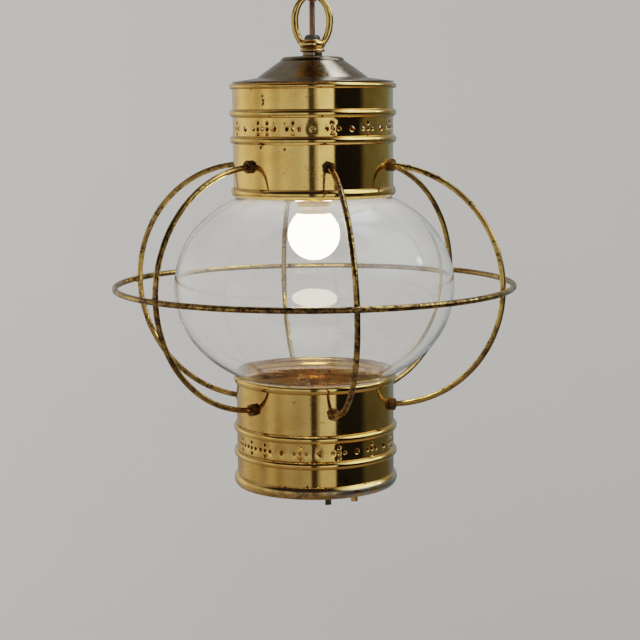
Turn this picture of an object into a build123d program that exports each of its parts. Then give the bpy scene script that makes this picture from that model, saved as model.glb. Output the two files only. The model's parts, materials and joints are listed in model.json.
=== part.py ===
"""Brass onion-globe ship lantern that hangs from a ceiling canopy on one chain link.

Millimetres, +Z up. The origin is the centre of the ceiling face of the canopy, on the hanging axis.
Azimuth is counted from -Y towards +X, so azimuth 0 is the front. "Middle" is the plane half way
between the two brass collars, or drums, which differ only in their lips and rims.
"""

import os
from math import atan2, cos, pi, radians, sin, sqrt, tan

from build123d import *

os.makedirs("parts", exist_ok=True)

# ---------------------------------------------------------------- driving dimensions
middle_z = -384.0            # lantern's middle plane below the ceiling

# collars: two spun brass drums
collar_r = 80.0              # outside of the plain wall
sheet = 0.9                  # thickness of the brass sheet
bead_r = 83.3                # crest of each bead
bead_half = 4.1              # half the height of a bead
rib_hole_z = 119.7           # height of the rib fixings, from the middle
bead_low_z = 145.0
bead_high_z = 170.9

# lip's edge, crest and foot, then the rim's foot, crest and end, as (radius, height from the middle)
upper_lip = ((79.2, 88.3), (82.6, 93.6), (80.0, 98.3))
lower_lip = ((81.5, 92.2), (82.8, 95.7), (80.0, 100.3))
upper_rim = ((80.0, 194.4), (83.3, 197.2), (79.9, 199.9))
lower_rim = ((80.0, 191.9), (83.3, 197.8), (80.7, 204.3))

# perforated band
repeats = 13
big_hole = 4.8
small_hole = 3.3
cross_across = 6.0
cross_up = 5.6
upper_band = (156.2, 0.2, -27.5, -33.3)      # height of the band, then the azimuths of its first and
lower_band = (158.7, -24.7, -43.0, -52.6)    # last large hole and of its one cross out of step

# cage
rib_count = 6
rib_azimuth = 10.3
rib_dia = 5.6
rib_centre_r = 74.9          # centre of a rib's arc, from the axis
rib_bend = 119.7             # radius of a rib's arc
ring_dia = 5.8
ring_drop = 1.5              # the ring's plane below the middle
nut_flats = 11.0
nut_height = 5.0

# globe: two tangent arcs each side of its waist
globe_wall = 3.0
globe_z = -2.6               # waist of the globe, from the middle
waist_centre_r = 48.9
waist_arc = 92.4
shoulder_centre = (17.3, -39.6)
shoulder_arc = 143.1
neck_r = 76.4
neck_end = 101.0             # ends of the neck, from the middle

# cap and stem
stem_dia = 9.7
loop_z = 261.2               # widest level of the cast hanging loop, from the middle
loop_half_w = 20.9           # outside half width
loop_rise = 27.0             # outside, above and below that level
loop_drop = 30.0
eye_half_w = 13.7            # the opening
eye_rise = 21.8
eye_drop = 24.5
loop_depth = 6.2

# chain link and ceiling loop
link_wire = 3.2
link_w = 24.0
link_h = 40.0
link_turn = 50.0             # degrees from the lantern loop's plane
ceiling_wire = 4.5
ceiling_half_w = 11.6
ceiling_half_h = 20.0
hang_gap = 0.3               # air between the link and the ceiling loop
hook_gap = 0.8               # air between the link and the lantern's loop

# lamp
bulb_r = 26.0
bulb_z = 50.2                # centre of the glass ball, from the middle
base_r = 12.9
thread_pitch = 3.6

# cord
cord_dia = 5.6

# bottom cover
cover_r = 76.5
cover_z = -203.0             # underside of the cover's flat, from the middle
cover_screw_azimuth = 33.0
cover_screw_r = 70.0
cover_screws = 3
tab_azimuth = 10.0


# ---------------------------------------------------------------- helpers
def up(height):
    """Height above the lantern's middle plane, as Z below the ceiling."""
    return middle_z + height


def radial_plane(azimuth, distance, height):
    """Plane at a point round the axis, facing outwards, with its Y axis upwards."""
    a = radians(azimuth)
    return Plane(
        origin=(distance * sin(a), -distance * cos(a), height),
        x_dir=(cos(a), sin(a), 0),
        z_dir=(sin(a), -cos(a), 0),
    )


def finish_part(builder, name):
    """Labels the piece and writes its STEP file."""
    builder.part.label = name
    export_step(builder.part, f"parts/{name}.step")


def lathe(points, name=None):
    """A turned piece from its closed outline of (radius, z) corners."""
    with BuildPart() as turned:
        with BuildSketch(Plane.XZ):
            with BuildLine():
                Polyline(*points, close=True)
            make_face()
        revolve(axis=Axis.Z)
    if name:
        finish_part(turned, name)
    return turned


def tube_piece(outer, inner, low, high, name=None):
    """A plain round sleeve, or a washer."""
    return lathe([(inner, low), (outer, low), (outer, high), (inner, high)], name)


def oval_path(half_w, half_h, end_r, centre, turn):
    """Closed oval of four tangent arcs, upright, in a plane turned about the vertical."""
    end_centre = half_h - end_r
    side_r = (half_w**2 + end_centre**2 - end_r**2) / (2 * (half_w - end_r))
    offset_x = side_r - half_w
    lean = atan2(end_centre, offset_x)
    join = (side_r * cos(lean) - offset_x, side_r * sin(lean))
    plane = Plane(origin=centre, x_dir=(cos(radians(turn)), sin(radians(turn)), 0),
                  z_dir=(sin(radians(turn)), -cos(radians(turn)), 0))
    with BuildLine(plane) as oval:
        ThreePointArc((join[0], -join[1]), (half_w, 0), join)
        ThreePointArc(join, (0, half_h), (-join[0], join[1]))
        ThreePointArc((-join[0], join[1]), (-half_w, 0), (-join[0], -join[1]))
        ThreePointArc((-join[0], -join[1]), (0, -half_h), (join[0], -join[1]))
    return oval


# ---------------------------------------------------------------- collars
def collar_outline(inset, side, lip, rim):
    """One face of the drum's sheet, from the lip to the rim, for the upper (1) or lower (-1) drum."""
    wall = collar_r - inset
    half = bead_half - 0.8 * inset
    lip_edge, lip_crest, lip_foot = lip
    rim_foot, rim_crest, rim_end = rim
    for low, high in ((lip_foot[1] - inset, bead_low_z - half), (bead_low_z + half, bead_high_z - half),
                      (bead_high_z + half, rim_foot[1] + inset)):
        Line((wall, up(side * low)), (wall, up(side * high)))
    for centre in (bead_low_z, bead_high_z):
        ThreePointArc((wall, up(side * (centre - half))), (bead_r - inset, up(side * centre)),
                      (wall, up(side * (centre + half))))
    rim_stop = (rim_end[0] - inset / 2, up(side * (rim_end[1] - inset)))
    ThreePointArc((wall, up(side * (rim_foot[1] + inset))),
                  (rim_crest[0] - inset, up(side * rim_crest[1])), rim_stop)
    lip_stop = (lip_edge[0] - inset, up(side * (lip_edge[1] + inset / 4)))
    ThreePointArc((wall, up(side * (lip_foot[1] - inset))),
                  (lip_crest[0] - inset, up(side * lip_crest[1])), lip_stop)
    return rim_stop, lip_stop


def make_collar(side, lip, rim, band, name):
    """A spun drum with its lip, two beads, rolled rim, perforated band and rib holes."""
    band_z, first_hole, last_hole, odd_cross = band
    step = 360 / repeats
    hole_azimuths = [first_hole + i * step for i in range(repeats - 1)] + [last_hole]
    cross_azimuths = [first_hole + (i + 0.5) * step for i in range(repeats)] + [odd_cross]
    with BuildPart() as collar:
        with BuildSketch(Plane.XZ):
            with BuildLine():
                outer_ends = collar_outline(0, side, lip, rim)
                inner_ends = collar_outline(sheet, side, lip, rim)
                for outer_end, inner_end in zip(outer_ends, inner_ends):
                    Line(outer_end, inner_end)
            make_face()
        revolve(axis=Axis.Z)
        for azimuth in hole_azimuths:
            with BuildSketch(radial_plane(azimuth, collar_r - 5, up(side * band_z))):
                Circle(big_hole / 2)
            extrude(amount=10, mode=Mode.SUBTRACT)
        for azimuth in cross_azimuths:
            with BuildSketch(radial_plane(azimuth, collar_r - 5, up(side * band_z))):
                with Locations((0, 0), (cross_across, 0), (-cross_across, 0), (0, cross_up),
                               (0, -cross_up)):
                    Circle(small_hole / 2)
            extrude(amount=10, mode=Mode.SUBTRACT)
        for i in range(rib_count):
            azimuth = rib_azimuth + i * 360 / rib_count
            with BuildSketch(radial_plane(azimuth, collar_r - 5, up(side * rib_hole_z))):
                Circle(rib_dia / 2 + 0.15)
            extrude(amount=10, mode=Mode.SUBTRACT)
    finish_part(collar, name)


make_collar(1, upper_lip, upper_rim, upper_band, "top_collar")
make_collar(-1, lower_lip, lower_rim, lower_band, "bottom_collar")

# glass seats: an angled brass ring soldered in each drum, with a cork gasket on it
seat_r = collar_r - sheet
for side, word in ((1, "upper"), (-1, "lower")):
    gasket = sorted((up(side * (neck_end + 0.0)), up(side * (neck_end + 2.5))))
    tube_piece(77.4, 72.0, gasket[0], gasket[1], f"{word}_glass_gasket")
    face = up(side * (neck_end + 2.5))
    back = up(side * (neck_end + 3.7))
    foot = up(side * (neck_end + 9.0))
    lathe([(71.0, face), (seat_r, face), (seat_r, foot), (seat_r - 1.2, foot),
           (seat_r - 1.2, back), (71.0, back)], f"{word}_glass_seat")


# ---------------------------------------------------------------- globe
def globe_outline(inset):
    """One face of the blown glass, from the upper neck end to the lower, as radius and z."""
    waist_z = up(globe_z)
    neck = neck_r - inset
    arc = shoulder_arc - inset
    centre_r, centre_h = shoulder_centre
    lean = atan2(waist_centre_r - centre_r, -centre_h)
    join = (centre_r + arc * sin(lean), centre_h + arc * cos(lean))
    corner_r = neck + 2.0
    corner = (corner_r, centre_h + sqrt(arc**2 - (corner_r - centre_r) ** 2))
    mid_lean = (lean + atan2(corner_r - centre_r, corner[1] - centre_h)) / 2
    midway = (centre_r + arc * sin(mid_lean), centre_h + arc * cos(mid_lean))
    waist_r = waist_centre_r + waist_arc - inset
    foot = corner[1] + 3.0
    ends = []
    for side in (1, -1):
        Line((neck, up(side * neck_end)), (neck, waist_z + side * foot))
        Spline((neck, waist_z + side * foot), (corner[0], waist_z + side * corner[1]),
               tangents=((0, -side), (corner[1] - centre_h, -side * (corner_r - centre_r))))
        ThreePointArc((corner[0], waist_z + side * corner[1]),
                      (midway[0], waist_z + side * midway[1]),
                      (join[0], waist_z + side * join[1]))
        ends.append((neck, up(side * neck_end)))
    ThreePointArc((join[0], waist_z + join[1]), (waist_r, waist_z), (join[0], waist_z - join[1]))
    return ends


with BuildPart() as globe:
    with BuildSketch(Plane.XZ):
        with BuildLine():
            outer_ends = globe_outline(0)
            inner_ends = globe_outline(globe_wall)
            for outer_end, inner_end in zip(outer_ends, inner_ends):
                Line(outer_end, inner_end)
        make_face()
    revolve(axis=Axis.Z)
finish_part(globe, "glass_globe")

# ---------------------------------------------------------------- cage
rib_reach = rib_centre_r + rib_bend
thread_end_r = 68.0
for i in range(rib_count):
    azimuth = radians(rib_azimuth + i * 360 / rib_count)
    rib_plane = Plane(origin=(0, 0, middle_z), x_dir=(sin(azimuth), -cos(azimuth), 0),
                      z_dir=(-cos(azimuth), -sin(azimuth), 0))
    with BuildPart() as rib:
        with BuildLine(rib_plane) as bow:
            Line((thread_end_r, rib_bend), (rib_centre_r, rib_bend))
            ThreePointArc((rib_centre_r, rib_bend), (rib_reach, 0), (rib_centre_r, -rib_bend))
            Line((rib_centre_r, -rib_bend), (thread_end_r, -rib_bend))
        with BuildSketch(Plane(origin=bow.line @ 0, z_dir=bow.line % 0)):
            Circle(rib_dia / 2)
        sweep(path=bow.line)
    finish_part(rib, f"rib_{i + 1}")

ring_r = rib_reach + rib_dia / 2 + ring_dia / 2 + 0.05
ring_z = up(-ring_drop)
with BuildPart() as equator_ring:
    with BuildSketch(Plane.XZ):
        with Locations((ring_r, ring_z)):
            Circle(ring_dia / 2)
    revolve(axis=Axis.Z)
finish_part(equator_ring, "equator_ring")

with BuildPart() as solder:
    for i in range(rib_count):
        with Locations(radial_plane(rib_azimuth + i * 360 / rib_count, ring_r - ring_dia / 2, ring_z)):
            Sphere(2.9)
finish_part(solder, "ring_solder_joints")


def rib_nuts(start_r, play, name):
    """A hexagon nut on each end of each rib, against the drum's wall."""
    with BuildPart() as nuts:
        for side in (1, -1):
            for i in range(rib_count):
                plane = radial_plane(rib_azimuth + i * 360 / rib_count, start_r, up(side * rib_hole_z))
                with BuildSketch(plane):
                    RegularPolygon(nut_flats / 2, 6, major_radius=False, rotation=30)
                    Circle(rib_dia / 2 + play, mode=Mode.SUBTRACT)
                extrude(amount=nut_height)
    finish_part(nuts, name)


rib_nuts(collar_r + 0.05, 0.5, "outer_rib_nuts")
rib_nuts(collar_r - sheet - 0.45 - nut_height, 0.1, "inner_rib_nuts")

# ---------------------------------------------------------------- cap, stem and loop
cap_sheet = 1.1
flange_r = 80.6
dome_r = 55.5                # where the dome leaves the flange
cap_crown = 222.9            # height of the cap's middle
with BuildPart() as top_cap:
    with BuildSketch(Plane.XZ):
        with BuildLine():
            for inset in (0, cap_sheet):
                dome_foot = (dome_r - inset / 3, up(205.2 - inset))
                dome_end = (28.0, up(222.5 - inset))
                Line((flange_r, up(201.6 - inset)), dome_foot)
                Spline(dome_foot, (46.6 - inset / 2, up(212.0 - inset)), (39.0 - inset / 2, up(217.5 - inset)),
                       (31.8, up(221.8 - inset)), dome_end, tangents=((-0.75, 0.66), (-1, 0.02)))
                Line(dome_end, (5.2, up(cap_crown - inset)))
            Line((flange_r, up(201.6)), (flange_r, up(201.6 - cap_sheet)))
            Line((5.2, up(cap_crown)), (5.2, up(cap_crown - cap_sheet)))
        make_face()
    revolve(axis=Axis.Z)
finish_part(top_cap, "top_cap")

vase_low = cap_crown + 0.2
vase_high = 226.8
with BuildPart() as vase_cap:
    with BuildSketch(Plane.XZ):
        with BuildLine():
            Polyline((5.2, up(vase_low)), (31.2, up(vase_low)))
            ThreePointArc((31.2, up(vase_low)), (30.2, up(225.0)), (27.6, up(225.9)))
            Polyline((27.6, up(225.9)), (12.0, up(vase_high)), (5.2, up(vase_high)), (5.2, up(vase_low)))
        make_face()
    revolve(axis=Axis.Z)
finish_part(vase_cap, "vase_cap")

tube_piece(9.8, 5.0, up(226.9), up(230.3), "neck_spacer")
with BuildPart() as check_ring:
    with BuildSketch(Plane.XZ):
        with Locations((8.7, up(232.2))):
            SlotOverall(7.4, 3.4)
    revolve(axis=Axis.Z)
finish_part(check_ring, "check_ring")

hub_low = 234.2
hub_top = 242.6
with BuildPart() as hanging_loop:
    with BuildSketch(Plane.XZ):
        for half_w, rise, drop, mode in ((loop_half_w, loop_rise, loop_drop, Mode.ADD),
                                         (eye_half_w, eye_rise, eye_drop, Mode.SUBTRACT)):
            with BuildLine():
                EllipticalCenterArc((0, up(loop_z)), half_w, rise, start_angle=0, arc_size=180)
                EllipticalCenterArc((0, up(loop_z)), half_w, drop, start_angle=180, arc_size=180)
            make_face(mode=mode)
    extrude(amount=loop_depth / 2, both=True)
    fillet(hanging_loop.edges(), 2.3)
    with Locations((0, 0, up(hub_low))):
        Box(60, 20, 20, align=(Align.CENTER, Align.CENTER, Align.MAX), mode=Mode.SUBTRACT)
    with BuildSketch(Plane.XZ):
        with BuildLine():
            Polyline((10.0, up(hub_top)), (0, up(hub_top)), (0, up(hub_low)), (10.6, up(hub_low)))
            ThreePointArc((10.6, up(hub_low)), (13.1, up(hub_low + 4.6)), (10.0, up(hub_top)))
        make_face()
    revolve(axis=Axis.Z)
    with Locations((0, 0, up(hub_low - 1))):
        Cylinder(stem_dia / 2 + 0.05, hub_top - hub_low + 2, align=(Align.CENTER, Align.CENTER, Align.MIN),
                 mode=Mode.SUBTRACT)
finish_part(hanging_loop, "hanging_loop")

bushing_top = 247.6
with BuildPart() as cord_bushing:
    with BuildSketch(Plane.XZ):
        with BuildLine():
            Polyline((3.1, up(hub_top)), (8.0, up(hub_top)), (8.0, up(hub_top + 1.2)))
            ThreePointArc((8.0, up(hub_top + 1.2)), (7.0, up(hub_top + 4.1)), (4.2, up(bushing_top)))
            Polyline((4.2, up(bushing_top)), (3.1, up(bushing_top)), (3.1, up(hub_top)))
        make_face()
    revolve(axis=Axis.Z)
finish_part(cord_bushing, "cord_bushing")

stem_low = 121.0
tube_piece(stem_dia / 2, 3.5, up(stem_low), up(hub_top - 0.1), "stem_tube")
crown_under = cap_crown - cap_sheet
tube_piece(12.0, 5.0, up(crown_under - 1.7), up(crown_under - 0.2), "stem_washer")
with BuildPart() as stem_locknut:
    with BuildSketch(Plane.XY.offset(up(crown_under - 6.2))):
        RegularPolygon(8.0, 6, major_radius=False)
        Circle(stem_dia / 2 + 0.05, mode=Mode.SUBTRACT)
    extrude(amount=4.3)
finish_part(stem_locknut, "stem_locknut")

# ---------------------------------------------------------------- lamp holder
holder_top = 121.0
with BuildPart() as socket_cap:
    with BuildSketch(Plane.XZ):
        with BuildLine():
            Polyline((5.0, up(holder_top - 6)), (7.2, up(holder_top - 6)), (7.2, up(holder_top)),
                     (17.0, up(holder_top - 10)), (17.0, up(holder_top - 20)), (18.0, up(holder_top - 20)),
                     (18.0, up(holder_top - 9.4)), (8.2, up(holder_top + 0.8)),
                     (8.2, up(holder_top + 6)), (5.0, up(holder_top + 6)), close=True)
        make_face()
    revolve(axis=Axis.Z)
finish_part(socket_cap, "socket_cap")
tube_piece(16.9, 16.2, up(78.4), up(holder_top - 12), "socket_shell")
tube_piece(16.1, 15.0, up(79.0), up(holder_top - 13), "socket_insulator")
contact_z = 102.4
lathe([(0, up(contact_z + 1.2)), (14.8, up(contact_z + 1.2)), (14.8, up(contact_z + 9)),
       (0, up(contact_z + 9))], "socket_base")
with BuildPart() as socket_contact:
    with BuildSketch(Plane.XY.offset(up(contact_z + 0.5))):
        Rectangle(14, 5)
    extrude(amount=0.6)
finish_part(socket_contact, "socket_contact")


def thread_wave(mean, depth, low, high, outward):
    """Corners of a rolled lamp thread's face, as a plain wave of rings."""
    turns = int((high - low) / thread_pitch)
    points = [(mean, low)]
    for turn in range(turns):
        points.append((mean + depth * outward, low + (turn + 0.5) * thread_pitch))
        points.append((mean, low + (turn + 1) * thread_pitch))
    points.append((mean, high))
    return points


shell_low = up(78.0)
shell_high = up(contact_z + 1.1)
shell_face = thread_wave(13.9, 0.4, shell_low, shell_high, 1)
lathe([(13.4, shell_low)] + [(13.4, shell_high)] + shell_face[::-1], "socket_screw_shell")

# ---------------------------------------------------------------- bulb
bulb_wall = 0.8
base_low = up(80.0)
base_high = up(98.6)


def bulb_outline(radius, neck, foot_z, reach):
    """Ball and neck of the bulb's glass, as an arc and a smooth throat, from the bottom upwards."""
    centre = up(bulb_z)
    lean = radians(48)
    shoulder = (radius * sin(lean), centre + radius * cos(lean))
    ThreePointArc((0, centre - radius), (radius, centre), shoulder)
    Spline(shoulder, (neck, foot_z), tangents=((-cos(lean), sin(lean)), (0, 1)),
           tangent_scalars=(reach, reach))
    return (0, centre - radius), (neck, foot_z)


with BuildPart() as bulb_glass:
    with BuildSketch(Plane.XZ):
        with BuildLine():
            outer_foot, outer_neck = bulb_outline(bulb_r, 12.4, base_low - 0.4, 1)
            inner_foot, inner_neck = bulb_outline(bulb_r - bulb_wall, 11.6, base_low - 0.4, 1)
            Line(outer_foot, inner_foot)
            Line(outer_neck, inner_neck)
        make_face()
    revolve(axis=Axis.Z)
finish_part(bulb_glass, "bulb_glass")

base_face = thread_wave(12.3, base_r - 12.3, base_low, base_high, 1)
lathe(base_face + [(8.0, up(101.0)), (7.2, up(101.0)), (11.6, base_high), (11.6, base_low)],
      "bulb_screw_base")
lathe([(0, up(99.4)), (7.1, up(99.4)), (7.1, up(101.0)), (4.9, up(101.5)), (0, up(101.5))],
      "bulb_insulator")
with BuildPart() as bulb_stem:
    with BuildSketch(Plane.XZ):
        with BuildLine():
            Polyline((0, base_low), (11.4, base_low), (11.4, base_low + 1), (3.4, base_low + 1.2),
                     (3.4, base_low + 2), (0, base_low + 2), close=True)
        make_face()
    with BuildSketch(Plane.XZ):
        with BuildLine():
            Polyline((0, base_low + 1), (3.0, base_low + 1), (2.2, base_low - 20), (0, base_low - 20),
                     close=True)
        make_face()
    revolve(axis=Axis.Z)
finish_part(bulb_stem, "bulb_stem")
lathe([(0, up(101.6)), (4.6, up(101.6)), (2.6, up(contact_z + 0.2)), (0, up(contact_z + 0.3))],
      "bulb_contact")

# ---------------------------------------------------------------- bottom cover
cover_sheet = 1.2
screw_hole = 2.3
with BuildPart() as bottom_cover:
    with BuildSketch(Plane.XZ):
        with BuildLine():
            Polyline((0, up(cover_z + 5)), (40, up(cover_z + 5)), (46, up(cover_z)),
                     (cover_r, up(cover_z)), (cover_r, up(cover_z + 5)),
                     (cover_r - cover_sheet, up(cover_z + 5)), (cover_r - cover_sheet, up(cover_z + cover_sheet)),
                     (46.6, up(cover_z + cover_sheet)), (40.6, up(cover_z + 5 + cover_sheet)),
                     (0, up(cover_z + 5 + cover_sheet)), close=True)
        make_face()
    revolve(axis=Axis.Z)
    with BuildSketch(Plane.XY.offset(up(cover_z - 1))):
        with PolarLocations(cover_screw_r, cover_screws, start_angle=cover_screw_azimuth - 90):
            Circle(screw_hole)
        with PolarLocations(26, 12):
            Circle(3.0)
    extrude(amount=10, mode=Mode.SUBTRACT)
finish_part(bottom_cover, "bottom_cover")

lug_z = cover_z + 7.0
with BuildPart() as cover_lugs:
    for i in range(cover_screws):
        azimuth = cover_screw_azimuth + i * 360 / cover_screws
        with BuildSketch(radial_plane(azimuth, 64.0, up(lug_z))):
            with Locations((0, 1.0)):
                Rectangle(14, 2)
        extrude(amount=seat_r - 0.6 - 64.0)
        with BuildSketch(radial_plane(azimuth, seat_r - 1.9, up(lug_z))):
            with Locations((0, 6.0)):
                Rectangle(14, 12)
        extrude(amount=1.3)
    with BuildSketch(Plane.XY.offset(up(lug_z - 1))):
        with PolarLocations(cover_screw_r, cover_screws, start_angle=cover_screw_azimuth - 90):
            Circle(2.25)
    extrude(amount=4, mode=Mode.SUBTRACT)
finish_part(cover_lugs, "cover_lugs")

head_top = up(cover_z - 0.4)
for i in range(cover_screws):
    azimuth = radians(cover_screw_azimuth + i * 360 / cover_screws)
    place = Plane((cover_screw_r * sin(azimuth), -cover_screw_r * cos(azimuth), head_top))
    with BuildPart() as cover_screw:
        with BuildSketch(place):
            Circle(3.6)
            with PolarLocations(3.6, 12):
                Circle(0.35, mode=Mode.SUBTRACT)
        extrude(amount=-7.6)
        fillet(cover_screw.faces().sort_by(Axis.Z)[0].edges(), 0.3)
        with BuildSketch(place):
            Circle(1.95)
        extrude(amount=13.5)
    finish_part(cover_screw, f"cover_screw_{i + 1}")

with BuildPart() as finger_tab:
    tab_at = radial_plane(tab_azimuth, 62.0, up(cover_z))
    with BuildSketch(tab_at):
        with Locations((0, -0.5)):
            Rectangle(8, 1)
    extrude(amount=9)
    with BuildSketch(radial_plane(tab_azimuth, 70.0, up(cover_z))):
        with Locations((0, -4.6)):
            Rectangle(6, 9.2)
    extrude(amount=1)
finish_part(finger_tab, "finger_tab")

# ---------------------------------------------------------------- chain link and ceiling loop
loop_inner_top = loop_z + eye_rise
link_low = loop_inner_top - hook_gap - link_wire
link_z = link_low + link_h / 2
link_run = link_w / 2 - link_wire / 2
link_rise = link_h / 2 - link_wire / 2
with BuildPart() as chain_link:
    with BuildLine(Plane(origin=(0, 0, up(link_z)), x_dir=(cos(radians(link_turn)), sin(radians(link_turn)), 0),
                         z_dir=(sin(radians(link_turn)), -cos(radians(link_turn)), 0))) as link_path:
        straight = link_rise - link_run
        Line((link_run, -straight), (link_run, straight))
        ThreePointArc((link_run, straight), (0, link_rise), (-link_run, straight))
        Line((-link_run, straight), (-link_run, -straight))
        ThreePointArc((-link_run, -straight), (0, -link_rise), (link_run, -straight))
    with BuildSketch(Plane(origin=link_path.line @ 0, z_dir=link_path.line % 0)):
        Circle(link_wire / 2)
    sweep(path=link_path.line)
finish_part(chain_link, "chain_link")

ceiling_turn = link_turn - 90
ceiling_low = link_low + link_h - link_wire - hang_gap - ceiling_wire
ceiling_z = ceiling_low + ceiling_half_h
ceiling_hub_low = ceiling_low + 2 * ceiling_half_h - ceiling_wire - 3.0
ceiling_hub_top = ceiling_hub_low + 11.0
ceiling_path = oval_path(ceiling_half_w - ceiling_wire / 2, ceiling_half_h - ceiling_wire / 2, 7.5,
                         (0, 0, up(ceiling_z)), ceiling_turn)
with BuildPart() as ceiling_loop:
    with BuildSketch(Plane(origin=ceiling_path.line @ 0, z_dir=ceiling_path.line % 0)):
        Circle(ceiling_wire / 2)
    sweep(path=ceiling_path.line)
    with Locations((0, 0, up(ceiling_hub_low))):
        Cylinder(12.4, ceiling_hub_top - ceiling_hub_low, align=(Align.CENTER, Align.CENTER, Align.MIN))
    with Locations((0, 0, up(ceiling_hub_low - 8))):
        Cylinder(stem_dia / 2 + 0.05, 40, align=(Align.CENTER, Align.CENTER, Align.MIN), mode=Mode.SUBTRACT)
finish_part(ceiling_loop, "ceiling_loop")

# ---------------------------------------------------------------- canopy at the ceiling
canopy_r = 62.0
canopy_face = up(ceiling_hub_low + 5.6)      # underside of the canopy's middle
with BuildPart() as ceiling_canopy:
    with BuildSketch(Plane.XZ):
        with BuildLine():
            for inset in (0, sheet):
                Line((12.9, canopy_face + inset), (20.0, canopy_face + inset))
                Spline((20.0, canopy_face + inset), (48.0 - inset / 2, -14.0 + inset / 2), (59.5 - inset, -3.4),
                       tangents=((1, 0), (0.15, 1)))
            Line((12.9, canopy_face), (12.9, canopy_face + sheet))
            Polyline((59.5, -3.4), (canopy_r, -1.6), (canopy_r, -0.4), (canopy_r - 1.2, -0.4),
                     (59.5 - sheet, -3.4))
        make_face()
    revolve(axis=Axis.Z)
finish_part(ceiling_canopy, "ceiling_canopy")

with BuildPart() as canopy_ring:
    with BuildSketch(Plane.XZ):
        with BuildLine():
            Polyline((12.75, canopy_face - 5.0), (14.6, canopy_face - 5.0), (16.4, canopy_face - 3.6),
                     (16.4, canopy_face - 0.3), (12.75, canopy_face - 0.3), close=True)
        make_face()
    revolve(axis=Axis.Z)
    with BuildSketch(Plane.XY.offset(canopy_face - 6)):
        with PolarLocations(16.6, 24):
            Circle(0.5)
    extrude(amount=8, mode=Mode.SUBTRACT)
finish_part(canopy_ring, "canopy_ring")

strap_t = 1.8
strap_hole_gap = 70.0
with BuildPart() as mounting_strap:
    with BuildSketch(Plane.XY):
        SlotOverall(104, 18)
        Circle(stem_dia / 2 + 0.05, mode=Mode.SUBTRACT)
        with GridLocations(strap_hole_gap, 0, 2, 1):
            Circle(2.3, mode=Mode.SUBTRACT)
        with Locations((20, 0)):
            Circle(1.75, mode=Mode.SUBTRACT)
    extrude(amount=-strap_t)
finish_part(mounting_strap, "mounting_strap")

tube_piece(stem_dia / 2, 3.5, up(ceiling_hub_low), -0.1, "ceiling_nipple")
with BuildPart() as ceiling_locknuts:
    for level in (-strap_t - 4.0, up(ceiling_hub_top) + 0.1):
        with BuildSketch(Plane.XY.offset(level)):
            RegularPolygon(8.0, 6, major_radius=False)
            Circle(stem_dia / 2 + 0.05, mode=Mode.SUBTRACT)
        extrude(amount=3.9)
finish_part(ceiling_locknuts, "ceiling_locknuts")
with BuildPart() as ground_screw:
    with Locations((20, 0, -strap_t - 5)):
        Cylinder(1.7, 5 + strap_t, align=(Align.CENTER, Align.CENTER, Align.MIN))
    with BuildSketch(Plane.XY.offset(-strap_t - 5)):
        with Locations((20, 0)):
            RegularPolygon(3.6, 6, major_radius=False)
    extrude(amount=-2.6)
finish_part(ground_screw, "ground_screw")

# ---------------------------------------------------------------- cord
# It comes up through the stem and the bushing, leans back to pass behind the hooked wires, and goes
# up the ceiling nipple. It is one cord, in three lengths so that each swings with what holds it.
exit_z = up(bushing_top - 1.0)
split_z = up(link_z)
entry_z = up(ceiling_hub_low - 0.1)
side_y = 8.4
lower_route = [(0, 0, exit_z), (0, 0, exit_z + 11.5), (0, side_y, exit_z + 34.0), (0, side_y, split_z)]
upper_route = [(0, side_y, split_z), (0, side_y, split_z + 22.0), (0, 0, entry_z - 2.5),
               (0, 0, entry_z + 9.5)]


def corner_radii(points):
    """For each inner point, 0.45 of the shorter run over the tangent of half the turn."""
    found = []
    for before, here, after in zip(points, points[1:], points[2:]):
        arrive = Vector(*here) - Vector(*before)
        leave = Vector(*after) - Vector(*here)
        turn = radians(arrive.get_angle(leave))
        found.append(0.45 * min(arrive.length, leave.length) / tan(turn / 2))
    return found


def cord_tube(points, name):
    """A plain tube along straight runs joined by tangent arcs."""
    radii = corner_radii(points)
    with BuildPart() as tube:
        with BuildLine() as route:
            FilletPolyline(*points, radius=radii)
        with BuildSketch(Plane(origin=route.line @ 0, z_dir=route.line % 0)):
            Circle(cord_dia / 2)
        sweep(path=route.line)
    length = Wire(route.edges()).length
    share = tube.part.volume / (pi * (cord_dia / 2) ** 2 * length)
    print(name, "length", round(length, 1), "radii", [round(r) for r in radii], "volume share", round(share, 4))
    finish_part(tube, name)


cord_tube(lower_route, "cord_lower")
cord_tube(upper_route, "cord_upper")
tube_piece(cord_dia / 2, 0, up(stem_low + 4), exit_z, "cord_in_stem")
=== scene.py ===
"""Looks, light and camera for the ship lantern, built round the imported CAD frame.

Metres, +Z up, origin at the ceiling. Heights named h are millimetres above the lantern's middle plane,
as in the CAD, and up() turns them into Z. Azimuth 0 is the front, -Y, and it grows towards +X.
"""

import json
import random
from math import atan2, cos, hypot, pi, radians, sin, sqrt

import bmesh
import bpy
from mathutils import Matrix, Vector, noise
from mathutils.geometry import delaunay_2d_cdt


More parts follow.
